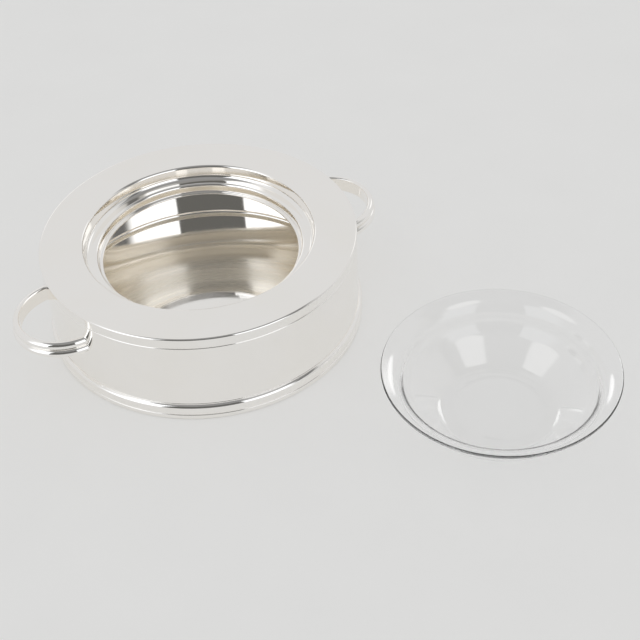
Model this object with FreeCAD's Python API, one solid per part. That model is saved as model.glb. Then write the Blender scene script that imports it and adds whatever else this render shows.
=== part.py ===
import FreeCAD, Part
import math
import os
from FreeCAD import Vector

# Caviar server with a loose glass liner, in millimetres.
# +Z is up, the table is z = 0 and the drum's axis is the origin.
# The two loop handles lie along X. The glass liner stands beside the drum.

# Drum pan: straight wall and flat bottom, drawn in one piece
wall_radius = 103.0
wall_gauge = 1.2
bottom_lift = 3.6
corner_radius = 4.4

# Top collar: skirt, flat rim, stepped recess and neck lip, spun in one piece
overall_height = 65.5
skirt_height = 7.4
seam_break = 0.35
collar_gauge = 1.5
rim_edge_radius = 1.2
recess_radius = 75.0
recess_depth = 9.4
recess_edge_radius = 1.7
recess_foot_radius = 3.0
ledge_width = 8.3
step_depth = 5.6
step_edge_radius = 1.8
step_foot_radius = 0.8
lip_width = 2.7

# Foot moulding: an ovolo over a plain band, with a fine groove between them and a thin top edge
foot_height = 11.7
foot_reach = 2.1
foot_shoulder_height = 9.75
foot_shoulder_bend = 2.7
foot_edge_height = 10.95
foot_edge_gauge = 0.25
foot_groove_height = 3.75
foot_groove_depth = 0.6
foot_groove_half_width = 0.35
foot_toe_radius = 0.8

# Loop handles: a strap with two round reeds outside, the lower one prouder, bent to a half ellipse
handle_drop = 15.5
handle_projection = 28.9
handle_half_width = 33.0
strap_thickness = 5.2
strap_height = 10.8
reed_depth = 2.2
reed_step = 0.9
strap_edge_radius = 1.5

# Glass liner: flat base, curved wall and a flared rim that the recess takes
liner_clearance = 1.0
neck_clearance = 0.8
liner_gauge = 2.2
liner_height = 37.0
liner_shoulder_height = 32.0
liner_shoulder_bend = 4.0
liner_wall_lean = 3.2
liner_belly_height = 16.0
liner_belly_bend = 20.0
liner_base_radius = 37.0
liner_heel_bend = 14.0
liner_spacing = 35.7
liner_bearing = -61.6

# Sizes that follow from the ones above
seam_height = overall_height - skirt_height
step_radius = recess_radius - ledge_width
neck_radius = step_radius - lip_width
handle_height = seam_height - handle_drop
handle_reach = wall_radius + handle_projection
liner_radius = recess_radius - liner_clearance
liner_shoulder_radius = neck_radius - neck_clearance
liner_belly_radius = liner_shoulder_radius - liner_wall_lean

UP = Vector(0, 0, 1)


def unit(a, b):
    """Unit direction from point a to point b, both (radius, height)."""
    length = math.hypot(b[0] - a[0], b[1] - a[1])
    return ((b[0] - a[0]) / length, (b[1] - a[1]) / length)


def offset_path(path, gauge):
    """The other face of a sheet that follows the path, to the left of it."""
    result = []
    last = len(path) - 1
    for i, (r, z, bend) in enumerate(path):
        before = unit(path[max(i - 1, 0)], path[max(i, 1)])
        after = unit(path[min(i, last - 1)], path[min(i + 1, last)])
        nb = (-before[1], before[0])
        na = (-after[1], after[0])
        scale = gauge / (1.0 + nb[0] * na[0] + nb[1] * na[1])
        turn = before[0] * after[1] - before[1] * after[0]
        if turn > 0:
            bend = max(bend - gauge, 0.0)
        elif bend > 0:
            bend = bend + gauge
        result.append((r + (nb[0] + na[0]) * scale, z + (nb[1] + na[1]) * scale, bend))
    return result


def in_plane(r, z):
    """A profile point in the XZ plane."""
    return Vector(r, 0, z)


def bent_edges(path):
    """Lines and tangent arcs along a path of (radius, height, bend radius)."""
    edges = []
    start = in_plane(path[0][0], path[0][1])
    for i in range(1, len(path) - 1):
        r, z, bend = path[i]
        back = unit(path[i], path[i - 1])
        ahead = unit(path[i], path[i + 1])
        corner = in_plane(r, z)
        if bend < 0.05:
            edges.append(Part.makeLine(start, corner))
            start = corner
            continue
        half = math.acos(max(-1.0, min(1.0, back[0] * ahead[0] + back[1] * ahead[1]))) / 2
        reach = bend / math.tan(half)
        first = in_plane(r + back[0] * reach, z + back[1] * reach)
        second = in_plane(r + ahead[0] * reach, z + ahead[1] * reach)
        middle = unit((0, 0), (back[0] + ahead[0], back[1] + ahead[1]))
        depth = bend / math.sin(half) - bend
        crest = in_plane(r + middle[0] * depth, z + middle[1] * depth)
        if (first - start).Length > 1e-6:
            edges.append(Part.makeLine(start, first))
        edges.append(Part.Arc(first, crest, second).toShape())
        start = second
    end = in_plane(path[-1][0], path[-1][1])
    edges.append(Part.makeLine(start, end))
    return edges


def end_cap(a, b, rounded):
    """Closes a sheet profile from a to b, square or with a full round."""
    start = in_plane(a[0], a[1])
    end = in_plane(b[0], b[1])
    if not rounded:
        return Part.makeLine(start, end)
    along = unit(a, b)
    half = math.hypot(b[0] - a[0], b[1] - a[1]) / 2
    crest = (start + end) * 0.5 + Vector(along[1], 0, -along[0]) * half
    return Part.Arc(start, crest, end).toShape()


def spun(edges):
    """Turns a closed profile once round the Z axis."""
    face = Part.Face(Part.Wire(Part.__sortEdges__(edges)))
    return face.revolve(Vector(0, 0, 0), UP, 360)


def spun_sheet(path, gauge, round_start=False, round_end=False):
    """A spun sheet of one gauge between a path and its offset."""
    other = offset_path(path, gauge)
    edges = bent_edges(path) + bent_edges(other)
    edges.append(end_cap(path[-1], other[-1], round_end))
    if path[0][0] > 1e-6:
        edges.append(end_cap(other[0], path[0], round_start))
    else:
        edges.append(Part.makeLine(in_plane(*other[0][:2]), in_plane(*path[0][:2])))
    return spun(edges)


def drum_pan():
    """Bottom and wall: the path runs out under the bottom and up the outside."""
    path = [
        (0.0, bottom_lift, 0.0),
        (wall_radius, bottom_lift, corner_radius),
        (wall_radius, seam_height, 0.0),
    ]
    return break_seam_edge(spun_sheet(path, wall_gauge))


def break_seam_edge(shape):
    """Breaks the outer edge at the seam, which leaves a fine line all round."""
    at_seam = [
        edge for edge in shape.Edges
        if isinstance(edge.Curve, Part.Circle)
        and abs(edge.Curve.Radius - wall_radius) < 1e-6
        and abs(edge.Curve.Center.z - seam_height) < 1e-6
    ]
    return shape.makeChamfer(seam_break, at_seam)


def top_collar():
    """Skirt, rim, recess with its ledge, and the step down to the neck lip."""
    ledge_z = overall_height - recess_depth
    lip_z = ledge_z - step_depth
    path = [
        (wall_radius, seam_height, 0.0),
        (wall_radius, overall_height, rim_edge_radius),
        (recess_radius, overall_height, recess_edge_radius),
        (recess_radius, ledge_z, recess_foot_radius),
        (step_radius, ledge_z, step_edge_radius),
        (step_radius, lip_z, step_foot_radius),
        (neck_radius + collar_gauge / 2, lip_z, 0.0),
    ]
    return break_seam_edge(spun_sheet(path, collar_gauge, round_end=True))


def foot_moulding():
    """The path runs out under the toe, up the band and the ovolo, and in to the drum wall."""
    face = wall_radius + foot_reach
    edge = wall_radius + foot_edge_gauge
    low = foot_groove_height - foot_groove_half_width
    high = foot_groove_height + foot_groove_half_width
    path = [
        (wall_radius, 0.0, 0.0),
        (face, 0.0, foot_toe_radius),
        (face, low, foot_groove_half_width),
        (face - foot_groove_depth, foot_groove_height, 0.0),
        (face, high, foot_groove_half_width),
        (face, foot_shoulder_height, foot_shoulder_bend),
        (edge, foot_edge_height, foot_edge_gauge),
        (edge, foot_height, 0.0),
        (wall_radius, foot_height, 0.0),
        (wall_radius, 0.0, 0.0),
    ]
    return spun(bent_edges(path))


def strap_section(x):
    """Strap profile on the leg at +Y: flat towards the loop's inside, two reeds outside."""
    half = strap_height / 2
    reed_z = half / 2
    face = handle_half_width
    inner = face - strap_thickness
    valley = face - reed_depth
    shoulder = valley - reed_step
    e = strap_edge_radius
    k = e * (1 - math.sqrt(0.5))

    def at(y, z):
        return Vector(x, y, handle_height + z)

    return Part.Wire([
        Part.makeLine(at(inner, e - half), at(inner, half - e)),
        Part.Arc(at(inner, half - e), at(inner + k, half - k), at(inner + e, half)).toShape(),
        Part.makeLine(at(inner + e, half), at(shoulder, half)),
        Part.Arc(at(shoulder, half), at(face - reed_step, reed_z), at(valley - reed_step / 2, 0)).toShape(),
        Part.Arc(at(valley - reed_step / 2, 0), at(face, -reed_z), at(valley, -half)).toShape(),
        Part.makeLine(at(valley, -half), at(inner + e, -half)),
        Part.Arc(at(inner + e, -half), at(inner + k, k - half), at(inner, e - half)).toShape(),
    ])


def handle():
    """The loop on the +X side: a half ellipse with short legs, butted on the drum wall."""
    root_x = math.sqrt(wall_radius ** 2 - handle_half_width ** 2)
    start_x = root_x - 2 * strap_thickness
    depth = handle_reach - root_x
    centre = Vector(root_x, 0, handle_height)
    side = Vector(root_x, handle_half_width, handle_height)
    crown = Vector(handle_reach, 0, handle_height)
    if depth > handle_half_width:
        ellipse = Part.Ellipse(crown, side, centre)
        bend = Part.ArcOfEllipse(ellipse, -math.pi / 2, math.pi / 2)
    else:
        ellipse = Part.Ellipse(side, Vector(2 * root_x - handle_reach, 0, handle_height), centre)
        bend = Part.ArcOfEllipse(ellipse, math.pi, 2 * math.pi)
    legs = [
        Part.makeLine(
            Vector(start_x, y, handle_height),
            Vector(root_x, y, handle_height))
        for y in (handle_half_width, -handle_half_width)
    ]
    spine = Part.Wire(Part.__sortEdges__([legs[0], bend.toShape(), legs[1]]))
    loop = spine.makePipeShell([strap_section(start_x)], True, True)
    drum = Part.makeCylinder(wall_radius, 2 * strap_height, Vector(0, 0, handle_height - strap_height))
    return loop.cut(drum)


def glass_liner():
    """Bowl with a flared rim that fits the recess, and a wall that clears the neck."""
    path = [
        (0.0, 0.0, 0.0),
        (liner_base_radius, 0.0, liner_heel_bend),
        (liner_belly_radius, liner_belly_height, liner_belly_bend),
        (liner_shoulder_radius, liner_shoulder_height, liner_shoulder_bend),
        (liner_radius - liner_gauge / 2, liner_height - liner_gauge, 0.0),
    ]
    liner = spun_sheet(path, liner_gauge, round_end=True)
    distance = wall_radius + foot_reach + liner_spacing + liner_radius
    bearing = math.radians(liner_bearing)
    liner.translate(Vector(distance * math.cos(bearing), distance * math.sin(bearing), 0))
    return liner


def other_side(shape):
    """The same piece turned half a turn round the drum's axis."""
    copy = shape.copy()
    copy.rotate(Vector(0, 0, 0), UP, 180)
    return copy


right = handle()
pieces = {
    "drum_pan": drum_pan(),
    "top_collar": top_collar(),
    "foot_moulding": foot_moulding(),
    "handle_right": right,
    "handle_left": other_side(right),
    "glass_liner": glass_liner(),
}

os.makedirs("parts", exist_ok=True)
for name, shape in pieces.items():
    shape.exportStep("parts/" + name + ".step")
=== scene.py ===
"""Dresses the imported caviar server: silver plate drum with loop handles, and a loose glass liner."""
import math

import bpy
import numpy as np
from mathutils import Matrix, Vector


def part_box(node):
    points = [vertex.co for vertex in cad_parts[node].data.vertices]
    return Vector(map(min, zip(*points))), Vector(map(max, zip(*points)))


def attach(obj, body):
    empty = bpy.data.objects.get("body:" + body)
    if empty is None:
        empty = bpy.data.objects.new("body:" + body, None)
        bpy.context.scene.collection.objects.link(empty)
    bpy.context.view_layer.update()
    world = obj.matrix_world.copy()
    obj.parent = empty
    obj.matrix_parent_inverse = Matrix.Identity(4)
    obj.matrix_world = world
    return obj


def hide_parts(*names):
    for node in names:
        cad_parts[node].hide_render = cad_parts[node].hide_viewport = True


bl_info = {
    "name": "Caviar Server Looks",
    "version": (1, 0, 0),
    "blender": (4, 5, 0),
    "location": "View3D > Sidebar > Caviar",
    "description": "Builds the finished surfaces of a silver plate caviar server and its glass liner",
    "category": "Object",
}

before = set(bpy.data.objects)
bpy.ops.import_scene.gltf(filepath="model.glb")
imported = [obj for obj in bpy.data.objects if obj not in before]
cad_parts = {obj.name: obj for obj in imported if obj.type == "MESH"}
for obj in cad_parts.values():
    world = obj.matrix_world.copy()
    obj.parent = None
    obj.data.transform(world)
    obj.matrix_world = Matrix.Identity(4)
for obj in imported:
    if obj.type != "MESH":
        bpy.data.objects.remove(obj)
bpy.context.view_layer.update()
PAN_LOW, PAN_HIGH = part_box("drum_pan")
COLLAR_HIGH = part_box("top_collar")[1]
FOOT_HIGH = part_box("foot_moulding")[1]
LOOP_LOW, LOOP_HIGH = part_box("handle_right")
LINER_LOW, LINER_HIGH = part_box("glass_liner")
BODY = "root"
MM = 0.001

# Bends smaller than this are square corners, and points nearer than this are one point.
SQUARE_BEND = 0.05 * MM
SAME_POINT = 1e-7
# A sheet's section has points at most this far apart, and each straight run has one this far inside each end.
SHEET_STEP = 6 * MM
SHEET_HOLD = 0.2 * MM
# How far a soldered piece runs into its neighbour, so that no light shows between them.
SOLDER_LAP = 0.05 * MM
STRAP_LAP = 0.04 * MM
# The handles' bow: its sections, the straight legs at its roots, and the sections of each leg.
BOW_SECTIONS = 181
LEG_LENGTH = 3 * MM
LEG_SECTIONS = 4
# Half the side of the table top in metres, and how far it lies under the server.
TABLE_REACH = 4.0
TABLE_GAP = 0.1 * MM

# The photograph's camera: focal length and frame in pixels, angles in degrees, place in metres, and the shift
# of the frame that its crop asks for.
FOCAL_PIXELS = 1262.6
FRAME_PIXELS = 640
SENSOR_MM = 36.0
CAMERA_PITCH = 43.57
CAMERA_ROLL = -1.41
CAMERA_ACROSS = (0.8377, -0.5461, 0.0)
CAMERA_AWAY = (0.5461, 0.8377, 0.0)
CAMERA_PLACE = (-0.2678, -0.6043, 0.5707)
CAMERA_SHIFT = (-0.0694, 0.0583)

# The light tent, in linear light. Swing is the angle in degrees round the table from the middle of the
# opening, which faces this many degrees from X, and rise is the angle above the table.
OPENING_FACES = -125.9
CLOTH_TONE = (0.73, 0.73, 0.73)
PANEL_TONE = (1.24, 1.27, 1.31)
DIM_TONE = (0.43, 0.43, 0.42)
SEAM_TONE = (0.15, 0.15, 0.15)
OPENING_TONE = (0.13, 0.13, 0.125)
ROOF_TONE = (0.28, 0.28, 0.28)
EVEN_TONE = (0.815, 0.815, 0.815)
ROOF_SWING_RISE = (42, 80)
# The seam is a band beside the plane that stands square to this direction: how far its middle is from the
# plane, and how far from its middle it has gone and is full.
SEAM_SWING_RISE = (144.9, -22.0)
SEAM_HEIGHT = 0.033
SEAM_NONE, SEAM_FULL = 0.12, 0.05
# Each lamp's swing, rise, reach in degrees and light, and how soft its edge is in degrees.
LAMPS = ((52, 57, 12, 2.1), (-78, 57, 12, 2.1), (147, 27, 9, 4.2), (-154, 23, 8, 4.2))
LAMP_EDGE = 2
# What the silver shows of a lamp, as a share of what the glass shows.
LAMP_IN_SILVER = 0.1
# What a ray that has just passed through the glass meets of the even light, as a share.
EVEN_THROUGH_GLASS = 0.6


def length(name, description, default_mm):
    """A size in a property group, written in millimetres and kept in metres."""
    return bpy.props.FloatProperty(
        name=name, description=description, default=default_mm * MM, min=0.0, unit="LENGTH",
        precision=5)


def colour(name, description, value):
    """A colour in a property group, from an sRGB hex value."""
    return bpy.props.FloatVectorProperty(
        name=name, description=description, default=linear(value), min=0.0, max=1.0, size=3,
        subtype="COLOR")


def linear(value):
    """Linear light for an sRGB hex value.

    Below 0.04045 it is c / 12.92, and above it ((c + 0.055) / 1.055) ** 2.4.
    """
    shares = [int(value[i:i + 2], 16) / 255.0 for i in (0, 2, 4)]
    return tuple(c / 12.92 if c <= 0.04045 else ((c + 0.055) / 1.055) ** 2.4 for c in shares)


class DrumSizes(bpy.types.PropertyGroup):
    """Sizes of the spun drum that its outline alone doesn't give."""
    wall_gauge: length("Wall gauge", "Thickness of the drum wall", 1.2)
    corner_radius: length("Corner radius", "Bend between the wall and the bottom", 4.4)
    seam_break: length("Seam break", "Chamfer on both edges of the seam under the collar", 0.35)
    collar_gauge: length("Collar gauge", "Thickness of the collar sheet", 1.5)
    rim_edge_radius: length("Rim edge radius", "Round on the outer edge of the flat rim", 1.2)
    recess_radius: length("Recess radius", "Radius of the wall that the liner drops into", 75.0)
    recess_depth: length("Recess depth", "Depth of the liner's ledge below the rim", 9.4)
    recess_edge_radius: length("Recess edge radius", "Round where the rim turns down into the recess", 1.7)
    recess_foot_radius: length("Recess foot radius", "Fillet between the recess wall and the ledge", 3.0)
    recess_flare: length("Recess flare", "How much wider the recess is at its top than at its foot", 0.8)
    ledge_width: length("Ledge width", "Width of the flat ledge that carries the liner", 8.3)
    step_depth: length("Step depth", "Drop from the ledge to the neck lip", 5.6)
    step_flare: length("Step flare", "How much wider the step is at its top than at its foot", 0.5)
    step_edge_radius: length("Step edge radius", "Round where the ledge turns down", 1.8)
    step_foot_radius: length("Step foot radius", "Fillet at the neck lip", 0.8)
    lip_width: length("Lip width", "Width of the flat lip round the neck", 2.7)


class FootSizes(bpy.types.PropertyGroup):
    """Sizes of the foot moulding: an ovolo over a plain band."""
    toe_radius: length("Toe radius", "Round on the bottom edge", 0.8)
    groove_height: length("Groove height", "Height of the fine groove between the band and the ovolo", 3.75)
    groove_depth: length("Groove depth", "Depth of that groove", 0.6)
    groove_half_width: length("Groove half width", "Half the width of that groove", 0.35)
    shoulder_height: length("Shoulder height", "Height of the corner that the ovolo rounds", 9.75)
    shoulder_bend: length("Shoulder bend", "Round of the ovolo", 2.7)
    edge_height: length("Edge height", "Height where the ovolo meets the thin top edge", 10.95)
    edge_gauge: length("Edge gauge", "Thickness of the thin top edge against the wall", 0.25)


class HandleSizes(bpy.types.PropertyGroup):
    """Sizes of the reeded strap that both loops are bent from."""
    strap_thickness: length("Strap thickness", "From the loop's inside face to the lower reed", 5.2)
    reed_depth: length("Reed depth", "Height of the two reeds above the groove between them", 2.2)
    reed_step: length("Reed step", "How far the upper reed stands back from the lower one", 0.9)
    edge_radius: length("Edge radius", "Round on the strap's inner edges", 1.5)
    fillet: length("Solder fillet", "Flare of solder where the strap meets the drum", 0.5)


class LinerSizes(bpy.types.PropertyGroup):
    """Sizes of the pressed glass bowl."""
    gauge: length("Gauge", "Thickness of the glass", 2.2)
    base_radius: length("Base radius", "Radius of the flat base, where the heel begins to turn up", 37.0)
    heel_bend: length("Heel bend", "Bend between the base and the belly", 11.0)
    belly_radius: length("Belly radius", "Radius of the wall at the belly", 60.0)
    belly_height: length("Belly height", "Height of the belly's bend", 16.0)
    belly_bend: length("Belly bend", "Bend at the belly", 20.0)
    shoulder_radius: length("Shoulder radius", "Radius where the wall flares to the rim", 63.2)
    shoulder_height: length("Shoulder height", "Height of that flare", 31.6)
    shoulder_bend: length("Shoulder bend", "Bend at the shoulder", 11.5)
    rim_radius: length("Rim radius", "Radius where the flare would end if its edge were square", 74.0)
    rim_height: length("Rim height", "Height where the flare would end if its edge were square", 37.0)
    rim_share: bpy.props.FloatProperty(
        name="Rim share", description="Thickness of the glass at the rim, as a share of its gauge",
        default=0.85, min=0.1, max=1.0)
    punt: length("Punt", "Hollow in the middle of the base, which stands on its edge", 0.3)


class FinishColours(bpy.types.PropertyGroup):
    """Colours of the finishes and of the studio."""
    silver: colour("Silver", "Buffed silver plate", "FDFBF8")
    tarnish: colour("Tarnish", "First yellowing of silver where polish doesn't reach", "F6F0DF")
    satin: colour("Satin silver", "Turned plate under the collar", "FEFDFA")
    glass: colour("Glass", "Clear soda-lime glass", "FDFDFD")
    table: colour("Table", "Matt pale table top", "F0F0EF")


def bent_path(corners, step, hold, arc_points=13):
    """Straight runs joined by tangent arcs.

    Each corner is (radius, height, bend). A bend b that turns through an angle t leaves the run b tan(t/2)
    before the corner and joins the next one as far after it. Between, its points are the centre plus
    b (cos a, sin a) at even angles a. A run has its ends, a point just inside each, and even steps.
    """
    corners = np.asarray(corners, float)
    points = corners[:, :2]
    parts = []
    start = points[0]
    for i in range(1, len(points)):
        last = i == len(points) - 1
        back = (points[i - 1] - points[i]) / np.hypot(*(points[i - 1] - points[i]))
        bend = 0.0 if last else corners[i, 2]
        if bend < SQUARE_BEND:
            stop = points[i]
            parts.append(straight_run(start, stop, step, hold))
            start = stop
            continue
        ahead = (points[i + 1] - points[i]) / np.hypot(*(points[i + 1] - points[i]))
        half = math.acos(np.clip(back @ ahead, -1.0, 1.0)) / 2
        first = points[i] + back * bend / math.tan(half)
        second = points[i] + ahead * bend / math.tan(half)
        middle = (back + ahead) / np.hypot(*(back + ahead))
        centre = points[i] + middle * bend / math.sin(half)
        if np.hypot(*(first - start)) > SAME_POINT:
            parts.append(straight_run(start, first, step, hold))
        a = math.atan2(*(first - centre)[::-1])
        turn = (math.atan2(*(second - centre)[::-1]) - a + math.pi) % (2 * math.pi) - math.pi
        angles = a + turn * np.linspace(0.0, 1.0, arc_points)
        parts.append(centre + bend * np.column_stack([np.cos(angles), np.sin(angles)]))
        start = second
    return merged(np.vstack(parts))


def straight_run(a, b, step, hold):
    """Points at a + (b - a) s, for even shares s, the two ends and one point just inside each end."""
    size = np.hypot(*(b - a))
    s = np.linspace(0.0, 1.0, max(int(math.ceil(size / step)), 1) + 1)
    if size > 4 * hold:
        s = np.unique(np.concatenate([s, [hold / size, 1 - hold / size]]))
    return a + (b - a) * s[:, None]


def merged(points):
    """The same points without those that repeat the one before."""
    gap = np.hypot(*np.diff(points, axis=0).T)
    return points[np.concatenate([[True], gap > SAME_POINT])]


def offset_corners(corners, gauge):
    """The other face of a sheet, to the left of the path: every corner moves along its two unit normals'
    sum, scaled by gauge / (1 + their product). Bends that turn left lose the gauge, the others gain it."""
    corners = np.asarray(corners, float)
    runs = np.diff(corners[:, :2], axis=0)
    runs /= np.hypot(runs[:, 0], runs[:, 1])[:, None]
    before = np.vstack([runs[:1], runs])
    after = np.vstack([runs, runs[-1:]])
    nb = np.column_stack([-before[:, 1], before[:, 0]])
    na = np.column_stack([-after[:, 1], after[:, 0]])
    scale = gauge / (1.0 + (nb * na).sum(1))
    turn = before[:, 0] * after[:, 1] - before[:, 1] * after[:, 0]
    bend = corners[:, 2]
    bend = np.where(turn > 0, np.maximum(bend - gauge, 0.0), np.where(bend > 0, bend + gauge, bend))
    return np.column_stack([corners[:, :2] + (nb + na) * scale[:, None], bend])


def half_round(a, b, count=13):
    """A half circle from a to b that bulges to the right of the way from a to b."""
    centre = (a + b) / 2
    arm = a - centre
    side = np.array([(b - a)[1], -(b - a)[0]]) / 2
    angles = np.linspace(0.0, math.pi, count)[:, None]
    return centre + arm * np.cos(angles) + side * np.sin(angles)


def spun(name, profile, turns, closed=True):
    """Surface of revolution: x = r cos t, y = r sin t, z = height, for every profile point and angle t.

    A closed profile is a ring of metal. An open one starts and ends on the axis, where its end points
    become the two poles. The profile is turned so that the outside is on its left.
    """
    profile = merged(np.asarray(profile, float))
    if closed and np.hypot(*(profile[0] - profile[-1])) < SAME_POINT:
        profile = profile[:-1]
    r, z = profile.T
    if (r * np.roll(z, -1) - np.roll(r, -1) * z).sum() > 0:
        profile = profile[::-1]
    rings = profile if closed else profile[1:-1]
    t = np.linspace(0.0, 2 * math.pi, turns, endpoint=False)
    r, z = rings.T
    points = np.stack(
        [np.outer(r, np.cos(t)), np.outer(r, np.sin(t)), np.outer(z, np.ones(turns))], axis=-1)
    points = points.reshape(-1, 3)
    n = len(rings)
    i = np.arange(n if closed else n - 1)[:, None]
    j = np.arange(turns)[None, :]
    down, over = (i + 1) % n, (j + 1) % turns
    quads = np.stack([i * turns + j, down * turns + j, down * turns + over, i * turns + over], axis=-1)
    faces = quads.reshape(-1, 4).tolist()
    if not closed:
        poles = np.array([[0.0, 0.0, profile[0, 1]], [0.0, 0.0, profile[-1, 1]]])
        count = len(points)
        points = np.vstack([points, poles])
        k = np.arange(turns)
        after = (k + 1) % turns
        base = (n - 1) * turns
        first = np.column_stack([np.full(turns, count), k, after])
        second = np.column_stack([np.full(turns, count + 1), base + after, base + k])
        faces += first.tolist() + second.tolist()
    return new_piece(name, points, faces)


def new_piece(name, points, faces):
    """A smooth-shaded mesh object at the origin, with its place in its mesh."""
    mesh = bpy.data.meshes.new(name)
    mesh.from_pydata(np.asarray(points, float), [], faces)
    mesh.update()
    mesh.shade_smooth()
    piece = bpy.data.objects.new(name, mesh)
    bpy.context.scene.collection.objects.link(piece)
    return piece


def settle(piece, node):
    """Stands the piece in for a CAD node, on the one body."""
    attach(piece, BODY)
    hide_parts(node)


def dress(piece, *materials):
    """Gives the piece its materials, the first of them on every face."""
    piece.data.materials.clear()
    for material in materials:
        piece.data.materials.append(material)


def add_node(tree, kind, fields=None, sockets=None, links=None):
    """Adds one node, sets its fields and its sockets' values, and links its inputs."""
    node = tree.nodes.new(kind)
    for key, value in (fields or {}).items():
        setattr(node, key, value)
    for key, value in (sockets or {}).items():
        node.inputs[key].default_value = value
    for key, source in (links or {}).items():
        tree.links.new(source, node.inputs[key])
    return node


def new_material(name):
    """An empty node material and its output node."""
    material = bpy.data.materials.new(name)
    material.use_nodes = True
    tree = material.node_tree
    tree.nodes.clear()
    return material, tree, add_node(tree, "ShaderNodeOutputMaterial")


def opaque(rgb):
    """A colour with full alpha, for a colour socket."""
    return (rgb[0], rgb[1], rgb[2], 1.0)


def buffed_silver(name, colours, roughness, wave_mm):
    """Electroplated silver on a spun or drawn brass body, buffed on a wheel and then wiped by hand.

    The mirror is clean, with the slow swell that spinning leaves, and a haze of hairlines too fine to
    see one by one, which shows only as roughness that changes over a centimetre or two. Patches of a few
    centimetres have begun to yellow.
    """
    material, tree, output = new_material(name)
    where = add_node(tree, "ShaderNodeTexCoord")
    haze = add_node(
        tree, "ShaderNodeTexNoise", sockets={"Scale": 1 / (14 * MM), "Detail": 4.0, "Roughness": 0.6},
        links={"Vector": where.outputs["Object"]})
    rough = add_node(
        tree, "ShaderNodeMapRange",
        sockets={"From Min": 0.3, "From Max": 0.7, "To Min": roughness * 0.6, "To Max": roughness * 1.5},
        links={"Value": haze.outputs["Fac"]})
    patch = add_node(
        tree, "ShaderNodeTexNoise", sockets={"Scale": 1 / (42 * MM), "Detail": 3.0},
        links={"Vector": where.outputs["Object"]})
    share = add_node(
        tree, "ShaderNodeMapRange",
        sockets={"From Min": 0.45, "From Max": 0.8, "To Min": 0.0, "To Max": 0.12},
        links={"Value": patch.outputs["Fac"]})
    tint = add_node(
        tree, "ShaderNodeMix", fields={"data_type": "RGBA"},
        sockets={"A": opaque(colours.silver), "B": opaque(colours.tarnish)},
        links={"Factor": share.outputs["Result"]})
    swell = add_node(
        tree, "ShaderNodeTexNoise", sockets={"Scale": 1 / (wave_mm * MM), "Detail": 1.0},
        links={"Vector": where.outputs["Object"]})
    bump = add_node(
        tree, "ShaderNodeBump", sockets={"Strength": 0.5, "Distance": 0.02 * MM},
        links={"Height": swell.outputs["Fac"]})
    shader = add_node(
        tree, "ShaderNodeBsdfPrincipled", sockets={"Metallic": 1.0},
        links={"Base Color": tint.outputs["Result"], "Roughness": rough.outputs["Result"],
               "Normal": bump.outputs["Normal"]})
    tree.links.new(shader.outputs["BSDF"], output.inputs["Surface"])
    return material


def satin_silver(colours):
    """Silver plate straight from the bath, inside the collar where no buffing wheel reaches.

    The lathe has left it with fine rings round the axis, so a reflection smears across them and stays
    sharp along them. The real rings are a few tenths of a millimetre apart, too fine to show, so they are
    drawn 1.6 mm apart.
    """
    material, tree, output = new_material("satin_silver_turned")
    where = add_node(tree, "ShaderNodeTexCoord")
    axes = add_node(tree, "ShaderNodeSeparateXYZ", links={"Vector": where.outputs["Object"]})
    flat = add_node(
        tree, "ShaderNodeCombineXYZ", links={"X": axes.outputs["X"], "Y": axes.outputs["Y"]})
    radius = add_node(
        tree, "ShaderNodeVectorMath", fields={"operation": "LENGTH"}, links={0: flat.outputs["Vector"]})
    rings = add_node(
        tree, "ShaderNodeTexNoise", fields={"noise_dimensions": "1D"},
        sockets={"Scale": 1 / (1.6 * MM), "Detail": 4.0}, links={"W": radius.outputs["Value"]})
    rough = add_node(
        tree, "ShaderNodeMapRange",
        sockets={"From Min": 0.3, "From Max": 0.7, "To Min": 0.22, "To Max": 0.33},
        links={"Value": rings.outputs["Fac"]})
    round_axis = add_node(tree, "ShaderNodeTangent", fields={"direction_type": "RADIAL", "axis": "Z"})
    shader = add_node(
        tree, "ShaderNodeBsdfPrincipled",
        sockets={"Metallic": 1.0, "Base Color": opaque(colours.satin), "Anisotropic": 0.7,
                 "Anisotropic Rotation": 0.25},
        links={"Roughness": rough.outputs["Result"], "Tangent": round_axis.outputs["Tangent"]})
    tree.links.new(shader.outputs["BSDF"], output.inputs["Surface"])
    return material


def pressed_glass(colours):
    """Clear soda-lime glass, pressed and fire polished: smooth, with a slow ripple from the mould."""
    material, tree, output = new_material("pressed_soda_lime_glass")
    where = add_node(tree, "ShaderNodeTexCoord")
    ripple = add_node(
        tree, "ShaderNodeTexNoise", sockets={"Scale": 1 / (16 * MM), "Detail": 1.0},
        links={"Vector": where.outputs["Object"]})
    bump = add_node(
        tree, "ShaderNodeBump", sockets={"Strength": 0.4, "Distance": 0.05 * MM},
        links={"Height": ripple.outputs["Fac"]})
    shader = add_node(
        tree, "ShaderNodeBsdfPrincipled",
        sockets={"Base Color": opaque(colours.glass), "Roughness": 0.0, "IOR": 1.52,
                 "Transmission Weight": 1.0},
        links={"Normal": bump.outputs["Normal"]})
    tree.links.new(shader.outputs["BSDF"], output.inputs["Surface"])
    return material


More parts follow.
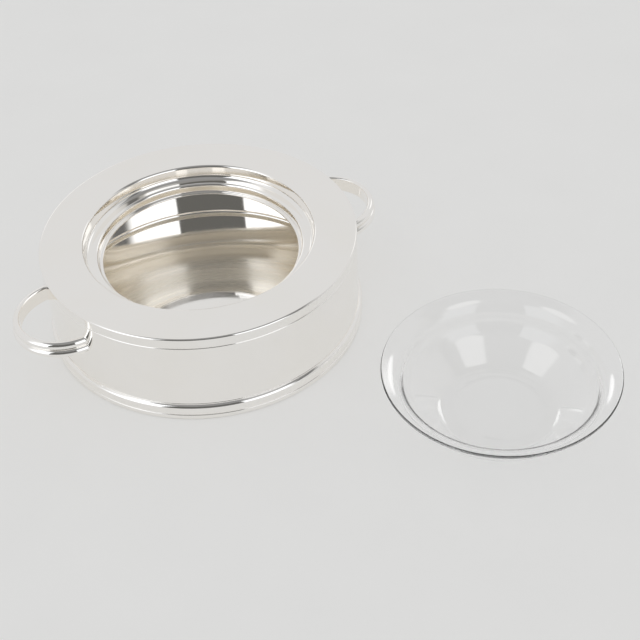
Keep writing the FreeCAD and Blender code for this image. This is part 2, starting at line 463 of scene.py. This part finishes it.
def matt_table(colours):
    """Matt white laminate: an even pale grey with hardly any grain and no visible gloss."""
    material, tree, output = new_material("matt_white_laminate")
    where = add_node(tree, "ShaderNodeTexCoord")
    mottle = add_node(
        tree, "ShaderNodeTexNoise", sockets={"Scale": 1 / (60 * MM), "Detail": 2.0},
        links={"Vector": where.outputs["Object"]})
    value = add_node(
        tree, "ShaderNodeMapRange", sockets={"To Min": 0.985, "To Max": 1.015},
        links={"Value": mottle.outputs["Fac"]})
    tone = add_node(
        tree, "ShaderNodeHueSaturation", sockets={"Color": opaque(colours.table)},
        links={"Value": value.outputs["Result"]})
    shader = add_node(
        tree, "ShaderNodeBsdfPrincipled", sockets={"Roughness": 0.9, "Specular IOR Level": 0.1},
        links={"Base Color": tone.outputs["Color"]})
    tree.links.new(shader.outputs["BSDF"], output.inputs["Surface"])
    return material


def silver_for_sheet(colours):
    """The one buffed silver of the drum and the collar, made once."""
    name = "buffed_silver_plate_spun"
    return bpy.data.materials.get(name) or buffed_silver(name, colours, roughness=0.05, wave_mm=26)


def silver_for_mouldings(colours):
    """The buffed silver of the handles and the foot, a little less even, made once."""
    name = "buffed_silver_plate_moulded"
    return bpy.data.materials.get(name) or buffed_silver(name, colours, roughness=0.07, wave_mm=9)


class CAVIAR_OT_drum_pan(bpy.types.Operator):
    """Build the drum's bottom and wall, drawn in one piece"""
    bl_idname = "caviar.drum_pan"
    bl_label = "Drum Pan"

    def execute(self, context):
        sizes = context.scene.caviar_drum
        outer = [
            (0.0, PAN_LOW.z, 0.0),
            (PAN_HIGH.x, PAN_LOW.z, sizes.corner_radius),
            (PAN_HIGH.x, PAN_HIGH.z + SOLDER_LAP, 0.0),
        ]
        outside = bent_path(outer, SHEET_STEP, SHEET_HOLD)
        inside = bent_path(offset_corners(outer, sizes.wall_gauge), SHEET_STEP, SHEET_HOLD)
        outside = break_edge(outside, sizes.seam_break, at_start=False)
        piece = spun("drum_pan_spun", np.vstack([outside, inside[::-1]]), turns=512, closed=False)
        dress(piece, silver_for_sheet(context.scene.caviar_colours))
        settle(piece, "drum_pan")
        return {"FINISHED"}


def break_edge(path, size, at_start):
    """Turns the corner at the seam into a chamfer.

    That end of the path stops short of its tip by the chamfer's size and steps in by as much. One point is
    held beyond it, and the rest of the path begins a little further on, so that no point folds back.
    """
    tip, back = (path[0], path[1]) if at_start else (path[-1], path[-2])
    along = (back - tip) / np.hypot(*(back - tip))
    held = tip + along * (size + SHEET_HOLD)
    short = tip + along * size
    stepped = tip - np.array([size, 0.0])
    rest = path[np.hypot(*(path - tip).T) > size + 1.5 * SHEET_HOLD]
    if at_start:
        return np.vstack([stepped, short, held, rest])
    return np.vstack([rest, held, short, stepped])


class CAVIAR_OT_top_collar(bpy.types.Operator):
    """Build the collar: skirt, flat rim, stepped recess and neck lip, spun in one piece"""
    bl_idname = "caviar.top_collar"
    bl_label = "Top Collar"

    def execute(self, context):
        sizes = context.scene.caviar_drum
        radius, top, seam = COLLAR_HIGH.x, COLLAR_HIGH.z, PAN_HIGH.z
        ledge = top - sizes.recess_depth
        lip = ledge - sizes.step_depth
        step = sizes.recess_radius - sizes.ledge_width
        neck = step - sizes.lip_width
        outer = [
            (radius, seam, 0.0),
            (radius, top, sizes.rim_edge_radius),
            (sizes.recess_radius, top, sizes.recess_edge_radius),
            (sizes.recess_radius - sizes.recess_flare, ledge, sizes.recess_foot_radius),
            (step, ledge, sizes.step_edge_radius),
            (step - sizes.step_flare, lip, sizes.step_foot_radius),
            (neck + sizes.collar_gauge / 2, lip, 0.0),
        ]
        outside = bent_path(outer, SHEET_STEP, SHEET_HOLD)
        inside = bent_path(offset_corners(outer, sizes.collar_gauge), SHEET_STEP, SHEET_HOLD)
        outside = break_edge(outside, sizes.seam_break, at_start=True)
        crest = half_round(outside[-1], inside[-1])
        piece = spun("top_collar_spun", np.vstack([outside, crest, inside[::-1]]), turns=448)
        colours = context.scene.caviar_colours
        dress(piece, silver_for_sheet(colours), satin_silver(colours))
        mark_underside(piece, outer, sizes.collar_gauge)
        settle(piece, "top_collar")
        return {"FINISHED"}


def mark_underside(piece, outer, gauge):
    """Puts the second material on the faces that look into the drum.

    A face is one of them when its middle is less than half as far from the sheet's inner path as from its
    outer one. The middles repeat round the axis, so each pair of radius and height is measured once.
    """
    mesh = piece.data
    centres = np.zeros(len(mesh.polygons) * 3)
    mesh.polygons.foreach_get("center", centres)
    centres = centres.reshape(-1, 3)
    flat = np.column_stack([np.hypot(centres[:, 0], centres[:, 1]), centres[:, 2]])
    outside = bent_path(outer, 1 * MM, SHEET_HOLD)
    inside = bent_path(offset_corners(outer, gauge), 1 * MM, SHEET_HOLD)
    rows, back = np.unique(flat.round(7), axis=0, return_inverse=True)
    to_outside = np.hypot(*(rows[:, None] - outside[None]).transpose(2, 0, 1)).min(1)
    to_inside = np.hypot(*(rows[:, None] - inside[None]).transpose(2, 0, 1)).min(1)
    under = (to_inside < to_outside * 0.5).astype(np.int32)[back.reshape(-1)]
    mesh.polygons.foreach_set("material_index", under)
    mesh.update()


class CAVIAR_OT_foot_moulding(bpy.types.Operator):
    """Build the foot: an ovolo over a plain band, with a thin edge against the drum wall"""
    bl_idname = "caviar.foot_moulding"
    bl_label = "Foot Moulding"

    def execute(self, context):
        sizes = context.scene.caviar_foot
        wall, face, top = PAN_HIGH.x, FOOT_HIGH.x, FOOT_HIGH.z
        edge = wall + sizes.edge_gauge
        groove, half = sizes.groove_height, sizes.groove_half_width
        inset = wall - SOLDER_LAP
        nick = 0.12 * MM
        corners = [
            (inset, 0.0, 0.0),
            (face, 0.0, sizes.toe_radius),
            (face, groove - half, half),
            (face - sizes.groove_depth, groove, nick),
            (face, groove + half, half),
            (face, sizes.shoulder_height, sizes.shoulder_bend),
            (edge, sizes.edge_height, sizes.edge_gauge),
            (edge, top, nick),
            (inset, top, 0.0),
        ]
        outside = bent_path(corners, step=1.5 * MM, hold=0.1 * MM, arc_points=17)
        piece = spun("foot_moulding_drawn", np.vstack([outside, corners[0][:2]]), turns=512)
        dress(piece, silver_for_mouldings(context.scene.caviar_colours))
        settle(piece, "foot_moulding")
        return {"FINISHED"}


def three_point_arc(a, b, c, count):
    """The circle through three points.

    Its centre is where the perpendicular bisectors of a-b and b-c meet, and its points run from a through
    b to c at even angles.
    """
    a, b, c = (np.asarray(p, float) for p in (a, b, c))
    centre = np.linalg.solve(2 * np.array([b - a, c - b]), np.array([b @ b - a @ a, c @ c - b @ b]))
    radius = np.hypot(*(a - centre))
    start, middle, stop = (math.atan2(*(p - centre)[::-1]) for p in (a, b, c))
    first = (middle - start + math.pi) % (2 * math.pi) - math.pi
    second = (stop - middle + math.pi) % (2 * math.pi) - math.pi
    angles = start + (first + second) * np.linspace(0.0, 1.0, count)
    return centre + radius * np.column_stack([np.cos(angles), np.sin(angles)])


class CAVIAR_OT_loop_handles(bpy.types.Operator):
    """Build the two loop handles, each one strap with two reeds"""
    bl_idname = "caviar.loop_handles"
    bl_label = "Loop Handles"

    def execute(self, context):
        sizes = context.scene.caviar_handles
        points, faces = strap_loop(sizes)
        silver = silver_for_mouldings(context.scene.caviar_colours)
        for name, node, turn in (
                ("loop_right", "handle_right", 1.0),
                ("loop_left", "handle_left", -1.0)):
            piece = new_piece(name, points * np.array([turn, turn, 1.0]), faces)
            dress(piece, silver)
            settle(piece, node)
        return {"FINISHED"}


def strap_profile(sizes):
    """Strap section as (inward, up): the flat inside face with rounded edges, then two reeds outside.

    Inward is measured from the crest of the lower reed. The upper one stands back from it by the step.
    """
    half = (LOOP_HIGH.z - LOOP_LOW.z) / 2
    thick, e, back = sizes.strap_thickness, sizes.edge_radius, sizes.reed_step
    k = e * (1 - math.sqrt(0.5))
    inner_low = three_point_arc((thick - e, -half), (thick - k, k - half), (thick, e - half), count=9)
    inner_high = three_point_arc((thick, half - e), (thick - k, half - k), (thick - e, half), count=9)
    face = straight_run(inner_low[-1], inner_high[0], step=3 * MM, hold=0.15 * MM)
    shoulder, groove = sizes.reed_depth + back, sizes.reed_depth + back / 2
    top = straight_run(inner_high[-1], np.array([shoulder, half]), step=1 * MM, hold=0.1 * MM)
    upper = three_point_arc((shoulder, half), (back, half / 2), (groove, 0.0), count=25)
    lower = three_point_arc((groove, 0.0), (0.0, -half / 2), (sizes.reed_depth, -half), count=25)
    bottom = straight_run(lower[-1], inner_low[0], step=1 * MM, hold=0.1 * MM)
    ring = merged(np.vstack([inner_low, face, inner_high, top, upper, lower, bottom]))
    return ring[:-1]


def strap_loop(sizes):
    """Points and faces of the strap swept round a half ellipse.

    The path is (root + b sin a, w cos a), for a from 0 to pi, with short straight legs. Each section stands
    across it, and what would lie inside the drum is brought out to its wall.
    """
    half_width = LOOP_HIGH.y
    root = math.sqrt(PAN_HIGH.x ** 2 - half_width ** 2)
    depth = LOOP_HIGH.x - root
    middle = (LOOP_HIGH.z + LOOP_LOW.z) / 2
    a = np.linspace(0.0, math.pi, BOW_SECTIONS)
    path = np.column_stack([root + depth * np.sin(a), half_width * np.cos(a)])
    way = np.column_stack([depth * np.cos(a), -half_width * np.sin(a)])
    leg = root + np.linspace(-LEG_LENGTH, 0.0, LEG_SECTIONS, endpoint=False)
    path = np.vstack([
        np.column_stack([leg, np.full(LEG_SECTIONS, half_width)]),
        path,
        np.column_stack([leg[::-1], np.full(LEG_SECTIONS, -half_width)]),
    ])
    way = np.vstack([
        np.tile([1.0, 0.0], (LEG_SECTIONS, 1)),
        way,
        np.tile([-1.0, 0.0], (LEG_SECTIONS, 1)),
    ])
    way /= np.hypot(way[:, 0], way[:, 1])[:, None]
    inward = np.column_stack([way[:, 1], -way[:, 0]])
    ring = strap_profile(sizes)
    flat = path[:, None, :] + inward[:, None, :] * ring[None, :, :1]
    height = np.broadcast_to(middle + ring[None, :, 1:], flat.shape[:2] + (1,))
    points = np.concatenate([flat, height], axis=-1)
    points = meet_wall(points, ring, sizes)
    rows, columns = points.shape[:2]
    i = np.arange(rows - 1)[:, None]
    j = np.arange(columns)[None, :]
    over = (j + 1) % columns
    quads = np.stack(
        [i * columns + j, (i + 1) * columns + j, (i + 1) * columns + over, i * columns + over], axis=-1)
    faces = quads.reshape(-1, 4).tolist()
    faces.append(list(range(columns)))
    faces.append(list(range((rows - 1) * columns, rows * columns))[::-1])
    return points.reshape(-1, 3), faces


def meet_wall(points, ring, sizes):
    """Seats the strap's ends on the drum.

    Rows that lie inside the drum come out along X to its wall, one small rise after another, so that they
    keep their order. There the strap flares by 0.6 f (1 - d / f) squared, for a fillet f and a distance d
    from the wall.
    """
    wall = np.sqrt(PAN_HIGH.x ** 2 - points[..., 1] ** 2) - STRAP_LAP
    order = np.arange(len(points))
    rank = np.minimum(order, order[::-1])[:, None]
    row_rise = 0.01 * MM
    x = np.maximum(points[..., 0], wall + rank * row_rise)
    reach = np.clip(1.0 - (x - wall) / sizes.fillet, 0.0, 1.0) ** 2 * sizes.fillet * 0.6
    centre = np.array([sizes.strap_thickness / 2, 0.0])
    out = (ring - centre) / np.hypot(*(ring - centre).T)[:, None]
    side = np.where(points[..., 1] > 0, 1.0, -1.0)
    result = points.copy()
    result[..., 0] = x
    result[..., 1] -= reach * out[None, :, 0] * side
    result[..., 2] += reach * out[None, :, 1]
    return result


class CAVIAR_OT_glass_liner(bpy.types.Operator):
    """Build the glass liner: flat base, curved wall and flared rim"""
    bl_idname = "caviar.glass_liner"
    bl_label = "Glass Liner"

    def execute(self, context):
        sizes = context.scene.caviar_liner
        # Where the hollow in the base ends and the ring it stands on starts, as shares of its radius.
        punt_end, ring_start = 0.7, 0.78
        outer = [
            (0.0, sizes.punt, 0.0),
            (sizes.base_radius * punt_end, sizes.punt, 2 * sizes.heel_bend),
            (sizes.base_radius * ring_start, 0.0, sizes.heel_bend * 0.2),
            (sizes.base_radius, 0.0, sizes.heel_bend),
            (sizes.belly_radius, sizes.belly_height, sizes.belly_bend),
            (sizes.shoulder_radius, sizes.shoulder_height, sizes.shoulder_bend),
            (sizes.rim_radius - sizes.gauge / 2, sizes.rim_height - sizes.gauge, 0.0),
        ]
        outside = bent_path(outer, step=5 * MM, hold=0.3 * MM, arc_points=19)
        inner = offset_corners(outer, sizes.gauge)
        inner[-1, :2] = outer[-1][:2] + (inner[-1, :2] - outer[-1][:2]) * sizes.rim_share
        inside = bent_path(inner, step=5 * MM, hold=0.3 * MM, arc_points=19)
        rim = half_round(outside[-1], inside[-1], count=21)
        profile = np.vstack([outside, rim, inside[::-1]])
        piece = spun("glass_liner_pressed", profile, turns=360, closed=False)
        centre = (LINER_LOW + LINER_HIGH) / 2
        piece.data.transform(Matrix.Translation((centre.x, centre.y, 0.0)))
        dress(piece, pressed_glass(context.scene.caviar_colours))
        settle(piece, "glass_liner")
        return {"FINISHED"}


class CAVIAR_OT_studio(bpy.types.Operator):
    """Build the table, the light tent's glow and the camera"""
    bl_idname = "caviar.studio"
    bl_label = "Studio"

    def execute(self, context):
        scene = context.scene
        sides = np.array([[-1.0, -1.0], [1.0, -1.0], [1.0, 1.0], [-1.0, 1.0]]) * TABLE_REACH
        corners = np.column_stack([sides, np.full(4, -TABLE_GAP)])
        table = new_piece("table_top", corners, [[0, 1, 2, 3]])
        dress(table, matt_table(scene.caviar_colours))
        light_tent(scene)
        camera_at_photo(scene)
        scene.view_settings.view_transform = "Standard"
        # Light goes to and fro many times between the mirror walls inside the drum. With the filter that
        # blurs glossy rays it would die away there, so that is off.
        scene.cycles.max_bounces = 32
        scene.cycles.glossy_bounces = 24
        scene.cycles.transmission_bounces = 16
        scene.cycles.blur_glossy = 0.0
        return {"FINISHED"}


def light_tent(scene):
    """A white fabric tent round the table, as the metal and the glass show it.

    Its walls glow evenly, brighter on both sides of the opening at the front, through which the unlit room
    shows. Its roof is open too, round a point a little to the right of overhead, and a dark seam climbs
    from the right-hand wall to the roof. Four lamps glow through the cloth beside the glass, two in front
    and two behind: the glass, whose reflections are the sharpest, shows them in full, and the silver, which
    stands further off, a tenth of them. The table gets the even light that such a tent gives, under the
    glass too.
    """
    world = bpy.data.worlds.new("light_tent")
    scene.world = world
    world.use_nodes = True
    tree = world.node_tree
    tree.nodes.clear()
    way = add_node(tree, "ShaderNodeTexCoord")
    turned = add_node(
        tree, "ShaderNodeVectorRotate", fields={"rotation_type": "Z_AXIS"},
        sockets={"Angle": math.radians(-OPENING_FACES)},
        links={"Vector": way.outputs["Generated"]}).outputs["Vector"]
    ray = add_node(tree, "ShaderNodeLightPath")
    cloth = tent_cloth(tree, turned)
    seen = tent_lamps(tree, turned, cloth, ray)
    shown = add_node(tree, "ShaderNodeBackground", links={"Color": seen})
    even = add_node(tree, "ShaderNodeBackground", sockets={"Color": opaque(EVEN_TONE)})
    # A ray that has left a matt surface meets the even light alone. One that comes straight through the
    # glass meets a share of it.
    past_matt = add_node(
        tree, "ShaderNodeMath", fields={"operation": "MULTIPLY_ADD"}, sockets={1: EVEN_THROUGH_GLASS},
        links={0: ray.outputs["Is Transmission Ray"], 2: ray.outputs["Diffuse Depth"]})
    even_share = add_node(
        tree, "ShaderNodeMath", fields={"operation": "MINIMUM"}, sockets={1: 1.0},
        links={0: past_matt.outputs["Value"]})
    either = add_node(
        tree, "ShaderNodeMixShader", links={
            0: even_share.outputs["Value"], 1: shown.outputs["Background"], 2: even.outputs["Background"]})
    output = add_node(tree, "ShaderNodeOutputWorld")
    tree.links.new(either.outputs["Shader"], output.inputs["Surface"])
    # Sampled as a lamp, the tent would light the table with what only metal and glass should show.
    world.cycles.sampling_method = "NONE"


def tent_cloth(tree, turned):
    """The colour of the tent along a direction that is turned to its opening.

    Each part of the tent is laid over those before it, by the product of its fades. A fade is a measure of
    the direction, the value at which the part has gone, and the value from which it is full.
    """
    axes = add_node(tree, "ShaderNodeSeparateXYZ", links={"Vector": turned})
    height = axes.outputs["Z"]
    swing = add_node(
        tree, "ShaderNodeMath", fields={"operation": "ARCTAN2"},
        links={0: axes.outputs["Y"], 1: axes.outputs["X"]}).outputs["Value"]
    either_side = add_node(
        tree, "ShaderNodeMath", fields={"operation": "ABSOLUTE"}, links={0: swing}).outputs["Value"]
    overhead = add_node(
        tree, "ShaderNodeVectorMath", fields={"operation": "DOT_PRODUCT"},
        sockets={1: towards(*ROOF_SWING_RISE)}, links={0: turned}).outputs["Value"]
    across_seam = add_node(
        tree, "ShaderNodeVectorMath", fields={"operation": "DOT_PRODUCT"},
        sockets={1: towards(*SEAM_SWING_RISE)}, links={0: turned}).outputs["Value"]
    past_seam = add_node(
        tree, "ShaderNodeMath", fields={"operation": "SUBTRACT"}, sockets={1: SEAM_HEIGHT},
        links={0: across_seam}).outputs["Value"]
    off_seam = add_node(
        tree, "ShaderNodeMath", fields={"operation": "ABSOLUTE"}, links={0: past_seam}).outputs["Value"]
    degree = math.radians(1)
    tone = None
    for level, fades in (
            (PANEL_TONE, ((either_side, 74 * degree, 58 * degree),)),
            (DIM_TONE, ((swing, 62 * degree, 70 * degree), (swing, 108 * degree, 74 * degree))),
            (SEAM_TONE, ((off_seam, SEAM_NONE, SEAM_FULL), (height, 0.26, 0.42),
                         (swing, 56 * degree, 64 * degree))),
            (OPENING_TONE, ((either_side, 26.8 * degree, 25.2 * degree),)),
            (ROOF_TONE, ((overhead, math.cos(37 * degree), math.cos(31 * degree)),))):
        share = None
        for measure, gone, full in fades:
            fade = add_node(
                tree, "ShaderNodeMapRange", fields={"interpolation_type": "SMOOTHSTEP"},
                sockets={"From Min": gone, "From Max": full}, links={"Value": measure}).outputs["Result"]
            share = fade if share is None else add_node(
                tree, "ShaderNodeMath", fields={"operation": "MULTIPLY"},
                links={0: share, 1: fade}).outputs["Value"]
        under = {} if tone is None else {"A": tone}
        tone = add_node(
            tree, "ShaderNodeMix", fields={"data_type": "RGBA"},
            sockets={"A": opaque(CLOTH_TONE), "B": opaque(level)},
            links={"Factor": share, **under}).outputs["Result"]
    return tone


def tent_lamps(tree, turned, cloth, ray):
    """The cloth's colour with the lamps' round spots laid over it.

    A lamp is full within its reach and fades over its edge. A perfectly sharp ray meets it in full, and any
    other ray the silver's share of it.
    """
    sharp = add_node(
        tree, "ShaderNodeMath", fields={"operation": "MULTIPLY_ADD"},
        sockets={1: 1.0 - LAMP_IN_SILVER, 2: LAMP_IN_SILVER},
        links={0: ray.outputs["Is Singular Ray"]}).outputs["Value"]
    tone = cloth
    for swing, rise, reach, level in LAMPS:
        near = add_node(
            tree, "ShaderNodeVectorMath", fields={"operation": "DOT_PRODUCT"},
            sockets={1: towards(swing, rise)}, links={0: turned}).outputs["Value"]
        spot = add_node(
            tree, "ShaderNodeMapRange", fields={"interpolation_type": "SMOOTHSTEP"},
            sockets={"From Min": math.cos(math.radians(reach + LAMP_EDGE)),
                     "From Max": math.cos(math.radians(reach - LAMP_EDGE))},
            links={"Value": near}).outputs["Result"]
        share = add_node(
            tree, "ShaderNodeMath", fields={"operation": "MULTIPLY"},
            links={0: spot, 1: sharp}).outputs["Value"]
        tone = add_node(
            tree, "ShaderNodeMix", fields={"data_type": "RGBA"},
            sockets={"B": opaque((level, level, level))},
            links={"Factor": share, "A": tone}).outputs["Result"]
    return tone


def towards(swing, rise):
    """Unit direction at two angles in degrees: (cos r cos s, cos r sin s, sin r)."""
    s, r = math.radians(swing), math.radians(rise)
    return (math.cos(r) * math.cos(s), math.cos(r) * math.sin(s), math.sin(r))


def camera_at_photo(scene):
    """The camera where the photograph was taken from, looking down by its pitch and turned by its roll."""
    pitch, roll = math.radians(CAMERA_PITCH), math.radians(CAMERA_ROLL)
    across, away = Vector(CAMERA_ACROSS), Vector(CAMERA_AWAY)
    forward = away * math.cos(pitch) - Vector((0, 0, math.sin(pitch)))
    rise = away * math.sin(pitch) + Vector((0, 0, math.cos(pitch)))
    right = across * math.cos(roll) + rise * math.sin(roll)
    up = rise * math.cos(roll) - across * math.sin(roll)
    data = bpy.data.cameras.new("camera")
    data.sensor_width = SENSOR_MM
    data.lens = FOCAL_PIXELS / FRAME_PIXELS * SENSOR_MM
    data.shift_x, data.shift_y = CAMERA_SHIFT
    camera = bpy.data.objects.new("camera", data)
    scene.collection.objects.link(camera)
    turn = Matrix((right, up, -forward)).transposed().to_4x4()
    camera.matrix_world = Matrix.Translation(CAMERA_PLACE) @ turn
    scene.camera = camera


class CAVIAR_PT_panel(bpy.types.Panel):
    """Lists the pieces in the 3D view's sidebar"""
    bl_idname = "CAVIAR_PT_panel"
    bl_label = "Caviar Server"
    bl_space_type = "VIEW_3D"
    bl_region_type = "UI"
    bl_category = "Caviar"

    def draw(self, context):
        for step in STEPS:
            self.layout.operator(step.bl_idname)
        for group in (getattr(context.scene, name) for name in GROUPS):
            box = self.layout.box()
            for name in group.bl_rna.properties.keys():
                if name not in {"rna_type", "name"}:
                    box.prop(group, name)


GROUPS = {
    "caviar_drum": DrumSizes,
    "caviar_foot": FootSizes,
    "caviar_handles": HandleSizes,
    "caviar_liner": LinerSizes,
    "caviar_colours": FinishColours,
}
STEPS = (
    CAVIAR_OT_drum_pan,
    CAVIAR_OT_top_collar,
    CAVIAR_OT_foot_moulding,
    CAVIAR_OT_loop_handles,
    CAVIAR_OT_glass_liner,
    CAVIAR_OT_studio,
)


def register():
    """Registers every class, and a pointer to each property group on the scene."""
    for cls in (*GROUPS.values(), *STEPS, CAVIAR_PT_panel):
        bpy.utils.register_class(cls)
    for name, group in GROUPS.items():
        setattr(bpy.types.Scene, name, bpy.props.PointerProperty(type=group))


def unregister():
    """Removes the pointers and the classes again."""
    for name in GROUPS:
        delattr(bpy.types.Scene, name)
    for cls in reversed((*GROUPS.values(), *STEPS, CAVIAR_PT_panel)):
        bpy.utils.unregister_class(cls)


def main():
    """Registers the add-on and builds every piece."""
    register()
    bpy.ops.caviar.drum_pan()
    bpy.ops.caviar.top_collar()
    bpy.ops.caviar.foot_moulding()
    bpy.ops.caviar.loop_handles()
    bpy.ops.caviar.glass_liner()
    bpy.ops.caviar.studio()


if __name__ == "__main__":
    main()
